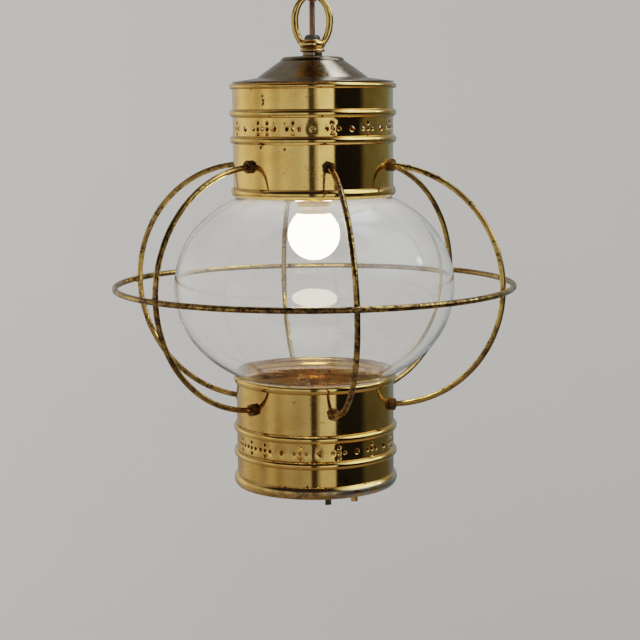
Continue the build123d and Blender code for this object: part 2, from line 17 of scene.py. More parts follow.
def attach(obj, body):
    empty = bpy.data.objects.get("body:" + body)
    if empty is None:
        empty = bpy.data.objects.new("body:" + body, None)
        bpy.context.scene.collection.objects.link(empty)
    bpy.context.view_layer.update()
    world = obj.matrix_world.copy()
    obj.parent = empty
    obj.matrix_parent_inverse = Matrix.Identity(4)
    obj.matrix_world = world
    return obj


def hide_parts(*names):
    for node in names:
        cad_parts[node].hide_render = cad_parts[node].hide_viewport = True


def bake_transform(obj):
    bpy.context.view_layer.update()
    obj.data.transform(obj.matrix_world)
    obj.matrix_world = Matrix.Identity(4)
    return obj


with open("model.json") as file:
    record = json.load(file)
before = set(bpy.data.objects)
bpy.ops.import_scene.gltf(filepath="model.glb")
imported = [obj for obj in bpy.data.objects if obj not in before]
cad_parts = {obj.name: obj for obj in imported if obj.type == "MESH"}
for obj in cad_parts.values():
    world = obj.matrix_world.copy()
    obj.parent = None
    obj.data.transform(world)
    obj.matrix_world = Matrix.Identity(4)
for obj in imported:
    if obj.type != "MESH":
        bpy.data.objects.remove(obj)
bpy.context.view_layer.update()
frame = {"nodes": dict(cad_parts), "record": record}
MM = 0.001
MIDDLE_Z = -0.384            # the lantern's middle plane
rng = random.Random(41)


def up(h):
    """Z of a height in millimetres above the lantern's middle plane."""
    return MIDDLE_Z + h * MM


# ---------------------------------------------------------------- camera
cam_data = bpy.data.cameras.new("camera")
camera = bpy.data.objects.new("camera", cam_data)
bpy.context.scene.collection.objects.link(camera)
cam_data.lens = 87.98
cam_data.sensor_width = 36.0
cam_data.clip_start = 0.05
cam_data.clip_end = 40
camera.matrix_world = (
    Matrix.Translation((0.00549, -1.5727, -0.2026))
    @ Matrix.Rotation(radians(82.07), 4, "X")
    @ Matrix.Rotation(radians(-0.44), 4, "Z")
)
bpy.context.scene.camera = camera


# ---------------------------------------------------------------- materials
class Nodes:
    """A short way to write a node material that ends in one Principled shader, in object coordinates."""

    def __init__(self, name):
        self.material = bpy.data.materials.new(name)
        self.material.use_nodes = True
        self.tree = self.material.node_tree
        self.shader = self.tree.nodes["Principled BSDF"]
        self.coords = self.tree.nodes.new("ShaderNodeTexCoord").outputs["Object"]

    def feed(self, socket, value):
        """Links a socket to an output, or sets its number or colour."""
        if isinstance(value, bpy.types.NodeSocket):
            self.tree.links.new(value, socket)
        elif isinstance(value, tuple) and socket.type == "RGBA":
            socket.default_value = (*value, 1)
        else:
            socket.default_value = value

    def put(self, kind, **inputs):
        """A new node with its inputs set, where an underscore stands for a space."""
        node = self.tree.nodes.new("ShaderNode" + kind)
        for key, value in inputs.items():
            self.feed(node.inputs[key.replace("_", " ")], value)
        return node

    def scaled(self, scale):
        """Object coordinates stretched by a scale for each axis."""
        node = self.put("Mapping", Vector=self.coords)
        node.inputs["Scale"].default_value = scale
        return node.outputs["Vector"]

    def noise(self, scale, detail=4.0, rough=0.55, stretch=(1, 1, 1), distortion=0.0):
        node = self.put("TexNoise", Vector=self.scaled(stretch), Scale=scale, Detail=detail,
                        Roughness=rough, Distortion=distortion)
        return node.outputs["Fac"]

    def ramp(self, value, low, high, low_out=0.0, high_out=1.0):
        """A number rising from low_out to high_out as value goes from low to high."""
        node = self.put("MapRange", Value=value, From_Min=low, From_Max=high, To_Min=low_out, To_Max=high_out)
        node.interpolation_type = "SMOOTHSTEP"
        return node.outputs["Result"]

    def maths(self, operation, a, b):
        node = self.put("Math")
        node.operation = operation
        self.feed(node.inputs[0], a)
        self.feed(node.inputs[1], b)
        return node.outputs[0]

    def mix(self, share, a, b):
        """Colour a where share is 0 and b where it is 1."""
        node = self.put("Mix")
        node.data_type = "RGBA"
        self.feed(node.inputs["Factor"], share)
        self.feed(node.inputs[6], a)
        self.feed(node.inputs[7], b)
        return node.outputs[2]

    def axis(self, name):
        return self.put("SeparateXYZ", Vector=self.coords).outputs[name]

    def compare(self, operation, vector):
        """The coordinates' DISTANCE from a point, or their DOT_PRODUCT with a direction."""
        node = self.put("VectorMath")
        node.operation = operation
        self.tree.links.new(self.coords, node.inputs[0])
        node.inputs[1].default_value = vector
        return node.outputs["Value"]

    def bump(self, height, strength, distance):
        node = self.put("Bump", Height=height, Strength=strength, Distance=distance)
        self.set(Normal=node.outputs["Normal"])

    def set(self, **inputs):
        """Sets the shader's own inputs."""
        for key, value in inputs.items():
            self.feed(self.shader.inputs[key.replace("_", " ")], value)

    def current(self, name):
        """The output that now feeds one of the shader's inputs."""
        return self.shader.inputs[name].links[0].from_socket


def worn_metal(name, bright, dull, dark, rough, tarnish, spin=0.0, speckle=0.0, relief=0.3):
    """Polished metal with cloudy tarnish, dark spots, and fine lines round the lathe axis."""
    m = Nodes(name)
    clouds = m.ramp(m.noise(26, 6, 0.6), 0.42 - tarnish * 0.1, 0.72 - tarnish * 0.1)
    colour = m.mix(clouds, bright, dull)
    flecks = m.ramp(m.noise(420, 5, 0.7), 0.62 - speckle * 0.16, 0.7 - speckle * 0.14)
    patches = m.ramp(m.noise(60, 5, 0.65), 0.4, 0.66)
    stain = m.maths("MULTIPLY", flecks, patches)
    colour = m.mix(stain, colour, dark)
    smears = m.noise(140, 4, 0.6, (1, 1, 3.5))
    finish = m.ramp(smears, 0.3, 0.75, rough * 0.7, rough * 1.5)
    finish = m.maths("ADD", finish, m.maths("MULTIPLY", stain, 0.28))
    finish = m.maths("ADD", finish, m.maths("MULTIPLY", clouds, 0.3 * rough))
    m.set(Base_Color=colour, Metallic=1.0, Roughness=finish)
    height = m.maths("SUBTRACT", m.maths("MULTIPLY", m.noise(900, 3, 0.6), 0.4), stain)
    if spin:
        lines = m.noise(1500, 2, 0.5, (0.02, 0.02, 1))
        height = m.maths("ADD", height, m.maths("MULTIPLY", lines, spin))
    m.bump(height, relief, 0.0001)
    return m


def plain_solid(name, colour, other, rough, scale, metallic=0.0, relief=0.25):
    """A plain moulded, fibre or plated surface with soft colour change and fine grain."""
    m = Nodes(name)
    cloud = m.ramp(m.noise(scale, 5, 0.6), 0.35, 0.7)
    m.set(Base_Color=m.mix(cloud, colour, other), Metallic=metallic,
          Roughness=m.ramp(m.noise(scale * 6, 4), 0.3, 0.7, rough * 0.8, rough * 1.25))
    m.bump(m.noise(scale * 12, 4, 0.65), relief, 0.0001)
    return m


polished_brass = worn_metal("polished_brass", (0.80, 0.53, 0.19), (0.66, 0.41, 0.13), (0.10, 0.055, 0.02),
                            0.09, 0.5, spin=0.5, speckle=0.25, relief=0.12)
drum_brass = worn_metal("drum_brass", (0.80, 0.53, 0.19), (0.68, 0.41, 0.13), (0.10, 0.055, 0.02),
                        0.055, 0.5, spin=0.5, speckle=0.25, relief=0.12)
cage_brass = worn_metal("cage_brass", (0.66, 0.44, 0.15), (0.34, 0.21, 0.08), (0.016, 0.01, 0.006),
                        0.15, 0.9, speckle=1.15, relief=0.5)
# Painted shade: towards the front (-Y) the cage wires are darkened in broken speckles, standing in for the
# shade on their outer sides, which face away from the lit bulb.
front = cage_brass.ramp(cage_brass.axis("Y"), -0.14, -0.075, 1.0, 0.0)
front = cage_brass.maths("MULTIPLY", front, cage_brass.ramp(cage_brass.noise(170, 6, 0.75), 0.45, 0.58))
cage_brass.set(Base_Color=cage_brass.mix(front, cage_brass.current("Base Color"), (0.08, 0.05, 0.026)))
nut_brass = worn_metal("nut_brass", (0.26, 0.16, 0.065), (0.10, 0.06, 0.028), (0.02, 0.013, 0.008),
                       0.3, 1.0, speckle=0.8, relief=0.5)
bronze_cap = worn_metal("bronze_cap", (0.28, 0.235, 0.165), (0.18, 0.145, 0.10), (0.05, 0.035, 0.025),
                        0.14, 0.6, spin=0.5, speckle=0.2, relief=0.1)
loop_brass = worn_metal("loop_brass", (0.76, 0.51, 0.19), (0.52, 0.33, 0.12), (0.06, 0.035, 0.015),
                        0.08, 0.5, speckle=0.35, relief=0.3)
canopy_brass = worn_metal("canopy_brass", (0.80, 0.57, 0.22), (0.64, 0.42, 0.15), (0.1, 0.055, 0.02),
                          0.16, 0.5, spin=0.5, speckle=0.15, relief=0.12)
inner_brass = worn_metal("inner_brass", (0.72, 0.5, 0.2), (0.5, 0.33, 0.13), (0.08, 0.05, 0.02),
                         0.28, 0.6, speckle=0.3)
zinc_steel = plain_solid("zinc_steel", (0.62, 0.62, 0.6), (0.46, 0.46, 0.45), 0.3, 60, metallic=1.0)
dark_steel = plain_solid("dark_steel", (0.05, 0.045, 0.04), (0.09, 0.07, 0.05), 0.45, 90, metallic=0.8)
green_screw = plain_solid("green_screw", (0.03, 0.25, 0.07), (0.05, 0.33, 0.1), 0.3, 90, metallic=0.7)
solder = plain_solid("solder", (0.6, 0.6, 0.58), (0.45, 0.45, 0.43), 0.35, 120, metallic=1.0)
black_phenolic = plain_solid("black_phenolic", (0.022, 0.02, 0.019), (0.035, 0.03, 0.026), 0.32, 50)
fibre_liner = plain_solid("fibre_liner", (0.22, 0.13, 0.07), (0.3, 0.19, 0.11), 0.75, 80)
cork = plain_solid("cork", (0.42, 0.27, 0.15), (0.22, 0.13, 0.07), 0.85, 240, relief=0.8)

globe_glass = Nodes("clear_glass")
ripples = globe_glass.noise(9, 2, 0.5, (1, 1, 1.6))
smudge = globe_glass.ramp(globe_glass.noise(16, 6, 0.62, (1, 1, 2)), 0.5, 0.78, 0.0, 0.06)
dust = globe_glass.ramp(globe_glass.noise(40, 7, 0.7), 0.35, 0.75, 0.995, 0.972)
dust = globe_glass.maths("MULTIPLY", dust, globe_glass.ramp(globe_glass.axis("Z"), up(62), up(98), 1.0, 0.9))
globe_glass.set(Base_Color=(0.985, 0.992, 0.99), Roughness=smudge, IOR=1.46, Transmission_Weight=dust)
globe_glass.bump(ripples, 0.18, 0.004)

bulb_frost = Nodes("bulb_frost")
mottle = bulb_frost.noise(90, 3)
lit = bulb_frost.ramp(bulb_frost.axis("Z"), up(70.0), up(71.0), 26.0, 0.0)
bulb_frost.set(Base_Color=bulb_frost.mix(mottle, (0.95, 0.92, 0.86), (1, 0.97, 0.92)),
               Roughness=bulb_frost.ramp(mottle, 0.3, 0.7, 0.35, 0.5),
               Emission_Color=(1.0, 0.84, 0.58), Emission_Strength=lit)

stem_glass = Nodes("stem_glass")
stem_glass.set(Base_Color=(0.93, 0.95, 0.94), IOR=1.5, Transmission_Weight=1.0,
               Roughness=stem_glass.ramp(stem_glass.noise(80), 0.3, 0.7, 0.02, 0.12))

cord_jacket = Nodes("cord_jacket")
cord_grain = cord_jacket.noise(300, 4, 0.6, (1, 1, 0.3))
cord_jacket.set(Base_Color=cord_jacket.mix(cord_grain, (0.055, 0.028, 0.015), (0.11, 0.06, 0.03)),
                Roughness=cord_jacket.ramp(cord_grain, 0.3, 0.7, 0.22, 0.38), Coat_Weight=0.6,
                Coat_Roughness=0.12)
cord_jacket.bump(cord_grain, 0.2, 0.0002)


# ---------------------------------------------------------------- mesh helpers
def arc3(a, b, c, count):
    """Points on the circle arc from a through b to c, both ends included."""
    (ax, ay), (bx, by), (cx, cy) = a, b, c
    d = 2 * (ax * (by - cy) + bx * (cy - ay) + cx * (ay - by))
    ux = ((ax**2 + ay**2) * (by - cy) + (bx**2 + by**2) * (cy - ay) + (cx**2 + cy**2) * (ay - by)) / d
    uy = ((ax**2 + ay**2) * (cx - bx) + (bx**2 + by**2) * (ax - cx) + (cx**2 + cy**2) * (bx - ax)) / d
    r = hypot(ax - ux, ay - uy)
    start, mid, end = (atan2(y - uy, x - ux) for x, y in (a, b, c))
    sweep = (end - start) % (2 * pi)
    if (mid - start) % (2 * pi) > sweep:
        sweep -= 2 * pi
    return [(ux + r * cos(start + sweep * i / count), uy + r * sin(start + sweep * i / count))
            for i in range(count + 1)]


def rounded(corners, radius, steps=3):
    """The closed outline with its corners rounded by small arcs."""
    points = []
    for i, here in enumerate(corners):
        before, after = Vector(corners[i - 1]), Vector(corners[(i + 1) % len(corners)])
        at = Vector(here)
        into, out = before - at, after - at
        r = min(radius, into.length * 0.45, out.length * 0.45)
        start, end = at + into.normalized() * r, at + out.normalized() * r
        for k in range(steps + 1):
            t = k / steps
            points.append(tuple(start.lerp(at, t).lerp(at.lerp(end, t), t)))
    return points


def cubic(start, a, b, end, t):
    """The point at share t of a curve with handles a and b."""
    return start.lerp(a, t).lerp(a.lerp(b, t), t).lerp(a.lerp(b, t).lerp(b.lerp(end, t), t), t)


def make_object(name, verts, faces, material, sharp=None):
    """A closed, smooth-shaded piece, with edges above sharp degrees kept."""
    mesh = bpy.data.meshes.new(name)
    mesh.from_pydata([tuple(v) for v in verts], [], faces)
    mesh.validate()
    bm = bmesh.new()
    bm.from_mesh(mesh)
    bmesh.ops.remove_doubles(bm, verts=bm.verts, dist=1e-6)
    bmesh.ops.recalc_face_normals(bm, faces=bm.faces)
    if bm.calc_volume(signed=True) < 0:
        bmesh.ops.reverse_faces(bm, faces=bm.faces)
    bm.to_mesh(mesh)
    bm.free()
    mesh.shade_smooth()
    if sharp:
        mesh.set_sharp_from_angle(angle=radians(sharp))
    mesh.materials.append(material.material)
    obj = bpy.data.objects.new(name, mesh)
    bpy.context.scene.collection.objects.link(obj)
    return obj


def settle(obj, body, slot, *replaced):
    """Puts a finished piece on its body, in place of its CAD nodes. The slot argument is not used."""
    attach(obj, body)
    if replaced:
        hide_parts(*replaced)


def lathe(name, outline, material, closed=True, segments=160, sharp=40):
    """A turned piece from (radius, h) points in millimetres, whose outline is closed or runs axis to axis."""
    count = len(outline)
    verts, faces = [], []
    for j in range(segments):
        a = 2 * pi * j / segments
        for r, h in outline:
            verts.append((r * sin(a) * MM, -r * cos(a) * MM, up(h)))
    for j in range(segments):
        k = (j + 1) % segments
        for i in range(count if closed else count - 1):
            n = (i + 1) % count
            quad = [j * count + i, j * count + n, k * count + n, k * count + i]
            if outline[i][0] <= 0:
                quad.remove(k * count + i)
            if outline[n][0] <= 0:
                quad.remove(k * count + n)
            if len(quad) > 2:
                faces.append(quad)
    return make_object(name, verts, faces, material, sharp=sharp)


def tube(name, points, radius, material, sides=24, closed=False, wobble=0.0, side=Vector((0, 0, 1))):
    """A round tube along points in metres, capped unless it is closed."""
    pts = [Vector(p) for p in points]
    count = len(pts)
    verts, faces = [], []
    for i, p in enumerate(pts):
        before = pts[i - 1] if closed or i else p
        after = pts[(i + 1) % count] if closed or i < count - 1 else p
        along = (after - before).normalized()
        across = along.cross(side).normalized()
        other = across.cross(along)
        for k in range(sides):
            a = 2 * pi * k / sides
            direction = across * cos(a) + other * sin(a)
            r = radius
            if wobble:
                r += wobble * noise.noise((p + direction * radius) * 180)
            verts.append(p + direction * r)
    for i in range(count if closed else count - 1):
        j = (i + 1) % count
        for k in range(sides):
            n = (k + 1) % sides
            faces.append([i * sides + k, i * sides + n, j * sides + n, j * sides + k])
    if not closed:
        faces.append(list(range(sides)))
        faces.append(list(range((count - 1) * sides, count * sides)))
    return make_object(name, verts, faces, material, sharp=50)


def place(azimuth, radius_mm, h):
    """The point at an azimuth in degrees, a radius and a height in millimetres."""
    a = radians(azimuth)
    return Vector((radius_mm * MM * sin(a), -radius_mm * MM * cos(a), up(h)))


def outward_and_sideways(azimuth):
    """Unit vectors away from the axis and round it."""
    a = radians(azimuth)
    return Vector((sin(a), -cos(a), 0)), Vector((cos(a), sin(a), 0))


UPWARD = Vector((0, 0, 1))


# ---------------------------------------------------------------- cord
CORD_R = 2.8 * MM
SIDE_Y = 8.4 * MM            # the cord runs beside the chain link, not through it
EXIT_Z = up(246.6)           # out of the bushing
SPLIT_Z = up(299.0)          # where the two lengths meet, at the middle of the link
ENTRY_Z = up(343.4)          # into the ceiling nipple


def cord_piece(name, route, diameter, node):
    """One free length of the cord along its route's curve, in place of its CAD node."""
    curve = bpy.data.curves.new(name + "_line", "CURVE")
    curve.dimensions = "3D"
    spline = curve.splines.new("NURBS")
    spline.points.add(len(route) - 1)
    for point, co in zip(spline.points, route):
        point.co = (*co, 1)
    spline.order_u = 3
    spline.use_endpoint_u = True
    spline.resolution_u = 16
    line = bpy.data.objects.new(name + "_line", curve)
    bpy.context.scene.collection.objects.link(line)
    bpy.context.view_layer.update()
    read = bpy.data.meshes.new_from_object(line)
    path = [tuple(v.co) for v in read.vertices]
    bpy.data.objects.remove(line)
    bpy.data.meshes.remove(read)
    piece = tube(name, path, diameter / 2, cord_jacket, sides=32, side=Vector((1, 0, 0)))
    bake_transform(piece)
    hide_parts(node)


cord_piece("cord_lower_length",
           [(0, 0, EXIT_Z), (0, 0, EXIT_Z + 0.0115), (0, SIDE_Y, EXIT_Z + 0.034), (0, SIDE_Y, SPLIT_Z)],
           2 * CORD_R, "cord_lower")
cord_piece("cord_upper_length",
           [(0, SIDE_Y, SPLIT_Z), (0, SIDE_Y, SPLIT_Z + 0.022), (0, 0, ENTRY_Z - 0.0025),
            (0, 0, ENTRY_Z + 0.0095)],
           2 * CORD_R, "cord_upper")


# ---------------------------------------------------------------- drums with their perforated bands
WALL_R = 80.0
BEAD_R, BEAD_HALF = 83.3, 4.1
INNER_BEAD, OUTER_BEAD = 145.0, 170.9    # heights of the beads each side of the band
SHEET = 0.9
REPEATS = 13                 # crosses and large holes round a band
COLUMNS = 26                 # mesh columns in one repeat of the pattern
SEGMENTS = REPEATS * COLUMNS
BAND_LOW, BAND_HIGH = 149.5, 166.4
LARGE_HOLE_R, SMALL_HOLE_R = 2.4, 1.65
CROSS = ((0, 0), (6, 0), (-6, 0), (0, 5.6), (0, -5.6))
DISHING = ((0.0, 0.42), (0.22, 0.2), (0.5, 0.07), (0.85, 0.0))    # (past the hole's edge, sunk by)
HOLE_SIDES = 20


def on_drum(arc_mm, h, inward=0.0):
    """A point on the drum's wall, from the length round it."""
    a = arc_mm / WALL_R
    r = WALL_R - inward
    return (r * sin(a) * MM, -r * cos(a) * MM, up(h))


def band_mesh(side, band):
    """Verts and faces of the perforated band: a sheet with dished, punched holes.

    It is laid out flat, (length round the wall, height), and cut open beside its first hole. The last large
    hole and one extra cross stand out of step.
    """
    band_h, first_hole, last_hole, odd_cross = band
    step = 2 * pi * WALL_R / REPEATS
    left = radians(first_hole) * WALL_R - 0.25 * step
    around = REPEATS * step
    holes = [(left + (i + 0.25) * step, band_h, LARGE_HOLE_R) for i in range(REPEATS - 1)]
    holes.append((left + (radians(last_hole) * WALL_R - left) % around, band_h, LARGE_HOLE_R))
    crosses = [left + (i + 0.75) * step for i in range(REPEATS)]
    crosses.append(left + (radians(odd_cross) * WALL_R - left) % around)
    for x in crosses:
        holes += [(x + dx, band_h + dh, SMALL_HOLE_R) for dx, dh in CROSS]
    rows, tall = 6, BAND_HIGH - BAND_LOW
    points = [(left + around * k / SEGMENTS, BAND_LOW) for k in range(SEGMENTS)]
    points += [(left + around, BAND_LOW + tall * k / rows) for k in range(rows)]
    points += [(left + around * (1 - k / SEGMENTS), BAND_HIGH) for k in range(SEGMENTS)]
    points += [(left, BAND_HIGH - tall * k / rows) for k in range(rows)]
    edges = [(k, (k + 1) % len(points)) for k in range(len(points))]
    depth = [0.0] * len(points)
    punched = []
    for x, h, r in holes:
        x += rng.uniform(-0.22, 0.22)
        h += rng.uniform(-0.22, 0.22)
        r += rng.uniform(-0.12, 0.10)
        punched.append((x, h, r))
        for grow, sink in DISHING:
            first = len(points)
            for k in range(HOLE_SIDES):
                a = 2 * pi * k / HOLE_SIDES
                rim_h = h + (r + grow) * sin(a)
                points.append((x + (r + grow) * cos(a), min(max(rim_h, BAND_LOW), BAND_HIGH)))
                depth.append(sink)
            edges += [(first + k, first + (k + 1) % HOLE_SIDES) for k in range(HOLE_SIDES)]
    found, _, tris, origin, _, _ = delaunay_2d_cdt([Vector(p) for p in points], edges, [], 0, 1e-5)
    verts = []
    for p, source in zip(found, origin):
        verts.append(on_drum(p.x, side * p.y, depth[source[0]] if source else 0.0))
    faces = []
    for tri in tris:
        cx = sum(found[k].x for k in tri) / 3
        ch = sum(found[k].y for k in tri) / 3
        if all(abs(cx - x) > r or hypot(cx - x, ch - h) > r * 0.97 for x, h, r in punched):
            faces.append(list(tri))
    return verts, faces


def strip_mesh(outline, side, first_hole):
    """Verts and faces of a turned strip whose columns meet the band's."""
    verts, faces = [], []
    start = radians(first_hole) - 0.5 * pi / REPEATS
    count = len(outline)
    for j in range(SEGMENTS):
        a = start + 2 * pi * j / SEGMENTS
        for r, h in outline:
            verts.append((r * sin(a) * MM, -r * cos(a) * MM, up(side * h)))
    for j in range(SEGMENTS):
        k = (j + 1) % SEGMENTS
        for i in range(count - 1):
            faces.append([j * count + i, k * count + i, k * count + i + 1, j * count + i + 1])
    return verts, faces


def bead(h):
    return arc3((WALL_R, h - BEAD_HALF), (BEAD_R, h), (WALL_R, h + BEAD_HALF), 16)


def drum(name, side, lip, rim, band, node):
    """A drum from the lip at the globe to the far rim, its face first and then its sheet's thickness.

    side is 1 above the middle plane and -1 below. lip and rim are three points of an arc. band is the band's
    height and the azimuths of its first and last large holes and its odd cross.
    """
    low = arc3(*lip, 18) + [(WALL_R, h) for h in (104, 112, 120, 130, 140.4)]
    low += bead(INNER_BEAD) + [(WALL_R, BAND_LOW)]
    high = [(WALL_R, BAND_HIGH)] + bead(OUTER_BEAD)
    high += [(WALL_R, h) for h in (178, 185, rim[0][1] - 0.6)] + arc3(*rim, 20)
    verts, faces = [], []
    for part_verts, part_faces in (strip_mesh(low, side, band[1]), band_mesh(side, band),
                                   strip_mesh(high, side, band[1])):
        base = len(verts)
        verts += part_verts
        faces += [[base + k for k in face] for face in part_faces]
    mesh = bpy.data.meshes.new(name)
    mesh.from_pydata(verts, [], faces)
    bm = bmesh.new()
    bm.from_mesh(mesh)
    bmesh.ops.remove_doubles(bm, verts=bm.verts, dist=2e-5)
    bmesh.ops.recalc_face_normals(bm, faces=bm.faces)
    if sum(f.normal.xy.dot(f.calc_center_median().xy) for f in bm.faces) < 0:
        bmesh.ops.reverse_faces(bm, faces=bm.faces)
    bm.to_mesh(mesh)
    bm.free()
    mesh.shade_smooth()
    mesh.materials.append(drum_brass.material)
    obj = bpy.data.objects.new(name, mesh)
    bpy.context.scene.collection.objects.link(obj)
    thick = obj.modifiers.new("sheet", "SOLIDIFY")
    thick.thickness = SHEET * MM
    thick.offset = -1
    apply_modifiers(obj)
    obj.data.set_sharp_from_angle(angle=radians(48))
    settle(obj, "lantern", "polished_brass", node)


def apply_modifiers(obj):
    """Leaves the modifiers' result in the mesh."""
    graph = bpy.context.evaluated_depsgraph_get()
    done = bpy.data.meshes.new_from_object(obj.evaluated_get(graph))
    obj.modifiers.clear()
    obj.data = done


def add_marks(m, spots):
    """Dark marks at (azimuth, h, radius) places on the drums, and the tarnished lower rim."""
    colour = m.current("Base Color")
    finish = m.current("Roughness")
    ragged = m.ramp(m.noise(900, 3, 0.7), 0.3, 0.7, -0.0007, 0.0007)
    for azimuth, h, radius in spots:
        away = m.maths("ADD", m.compare("DISTANCE", place(azimuth, WALL_R + 0.3, h)), ragged)
        mark = m.ramp(away, 0.7 * radius * MM, 1.35 * radius * MM, 1.0, 0.0)
        colour = m.mix(mark, colour, (0.03, 0.018, 0.01))
    rim = m.ramp(m.maths("ADD", m.axis("Z"), ragged), up(-196.6), up(-194.4), 1.0, 0.0)
    worn = m.ramp(m.noise(110, 5, 0.7), 0.36, 0.6, 0.35, 1.0)
    rim = m.maths("MULTIPLY", rim, worn)
    rim = m.maths("MULTIPLY", rim, m.ramp(m.axis("X"), -0.065, -0.015, 0.3, 1.0))
    crust = m.mix(m.ramp(m.axis("X"), 0.005, 0.055), (0.2, 0.14, 0.095), (0.52, 0.48, 0.45))
    m.set(Base_Color=m.mix(rim, colour, crust),
          Roughness=m.maths("ADD", finish, m.maths("MULTIPLY", rim, 0.24)))


add_marks(drum_brass, [
    (-36.9, 187.5, 1.3), (-36.2, 183.6, 1.4), (-36.3, 180.2, 1.5), (-48.0, 194.0, 1.0), (-57.0, 197.5, 1.8),
    (-38.7, 138.6, 1.5), (-37.0, 140.3, 0.9), (-19.7, 136.9, 1.4), (-19.4, 161.6, 0.9), (-5.8, -191.6, 1.2),
    (22.0, -187.0, 1.5), (-22.0, -193.5, 1.3), (-31.0, -195.0, 1.6), (24.5, -141.0, 0.8),
])
drum("top_drum", 1, [(79.2, 88.3), (82.6, 93.6), (80.0, 98.3)], [(80.0, 194.4), (83.3, 197.2), (79.9, 199.9)],
     (156.2, 0.2, -27.5, -33.3), "top_collar")
drum("bottom_drum", -1, [(81.5, 92.2), (82.8, 95.7), (80.0, 100.3)],
     [(80.0, 191.9), (83.3, 197.8), (80.7, 204.3)], (158.7, -24.7, -43.0, -52.6), "bottom_collar")


# ---------------------------------------------------------------- globe
NECK_R, NECK_END = 76.4, 101.0
GLOBE_MIDDLE = -2.6
SHOULDER_ARC, SHOULDER_AT = 143.1, (17.3, -39.6)    # the flatter arc's radius and centre
WAIST_ARC, WAIST_AT = 92.4, 48.9                    # the waist arc's radius, and its centre's radius
GLASS = 3.0


def globe_line(inset):
    """The globe's face from its upper neck end to its lower one."""
    neck = NECK_R - inset
    arc = SHOULDER_ARC - inset
    waist_arc = WAIST_ARC - inset
    centre_r, centre_h = SHOULDER_AT
    meet = atan2(WAIST_AT - centre_r, -centre_h)
    corner_r = neck + 2.0
    corner_h = centre_h + sqrt(arc**2 - (corner_r - centre_r) ** 2)
    top = []
    foot_h = corner_h + 3.0
    for k in range(6):
        top.append((neck, NECK_END - GLOBE_MIDDLE + (foot_h - NECK_END + GLOBE_MIDDLE) * k / 6))
    start, end = Vector((neck, foot_h)), Vector((corner_r, corner_h))
    end_way = Vector((corner_h - centre_h, -(corner_r - centre_r))).normalized()
    for k in range(8):
        top.append(tuple(cubic(start, start + Vector((0, -1.4)), end - end_way * 1.6, end, k / 8)))
    first = atan2(corner_r - centre_r, corner_h - centre_h)
    for k in range(22):
        a = first + (meet - first) * k / 22
        top.append((centre_r + arc * sin(a), centre_h + arc * cos(a)))
    for k in range(24):
        a = meet + (pi / 2 - meet) * k / 24
        top.append((WAIST_AT + waist_arc * sin(a), waist_arc * cos(a)))
    whole = [(r, h + GLOBE_MIDDLE) for r, h in top] + [(WAIST_AT + waist_arc, GLOBE_MIDDLE)]
    whole += [(r, GLOBE_MIDDLE - h) for r, h in reversed(top)]
    whole[-1] = (neck, -NECK_END)
    return whole


globe = lathe("globe_shell", globe_line(0) + globe_line(GLASS)[::-1], globe_glass, segments=224, sharp=60)
settle(globe, "lantern", "clear_glass", "glass_globe")
globe.visible_shadow = False


# ---------------------------------------------------------------- cage
RIB_AZIMUTHS = [10.3 + 60 * i for i in range(6)]
RIB_BEND, RIB_BEND_AT = 119.7, 74.9      # radius of a rib's bend, and where its centre stands
RIB_WIRE, RING_WIRE = 2.8, 2.9           # radii of the wires
RING_R, RING_H = 200.35, -1.5
WOBBLE = 0.00006
BRAZE = (2.3, 3.6, 3.3)                  # half sizes of a brazed joint: outward, sideways, upward
NUT_FLAT, NUT_CORNER, NUT_CHAMFER, NUT_BORE, NUT_THICK = 5.5, 6.3, 6.15, 2.95, 5.0    # radii, and the height


def lean(azimuth, h):
    """Azimuth of a hand-bent rib at a height: the front one stands a little askew."""
    skew = 1.15 if azimuth == RIB_AZIMUTHS[0] else 0.3
    return azimuth + skew * (1 - h / RIB_BEND)


def rib_points(azimuth):
    """A rib's middle line, from its upper end round to its lower one."""
    line = [(68.0, RIB_BEND), (71.5, RIB_BEND)]
    for k in range(73):
        a = pi * k / 72
        line.append((RIB_BEND_AT + RIB_BEND * sin(a), RIB_BEND * cos(a)))
    line += [(71.5, -RIB_BEND), (68.0, -RIB_BEND)]
    return [place(lean(azimuth, h), r, h) for r, h in line]


def brazed_joints():
    """Six lumps of braze where the ring crosses the ribs."""
    verts, faces = [], []
    for i, rib in enumerate(RIB_AZIMUTHS):
        ball = bmesh.new()
        bmesh.ops.create_icosphere(ball, subdivisions=4, radius=1)
        azimuth = lean(rib, RING_H)
        at = place(azimuth, RING_R - RING_WIRE, RING_H)
        outward, sideways = outward_and_sideways(azimuth)
        base = len(verts)
        for v in ball.verts:
            lump = 1 + 0.1 * noise.noise(v.co * 2.2 + Vector((i * 7.0, 0, 0)))
            offset = outward * v.co.x * BRAZE[0] + sideways * v.co.y * BRAZE[1] + UPWARD * v.co.z * BRAZE[2]
            verts.append(at + offset * lump * MM)
        faces += [[base + v.index for v in f.verts] for f in ball.faces]
        ball.free()
    return make_object("brazed_joints", verts, faces, cage_brass)


def nut_radius(angle, chamfer):
    """Radius of a hexagon nut's outline, cut back by its chamfer at the end faces."""
    flat = NUT_FLAT / cos((angle % (pi / 3)) - pi / 6)
    return min(flat, NUT_CHAMFER - chamfer) if chamfer else min(flat, NUT_CORNER)


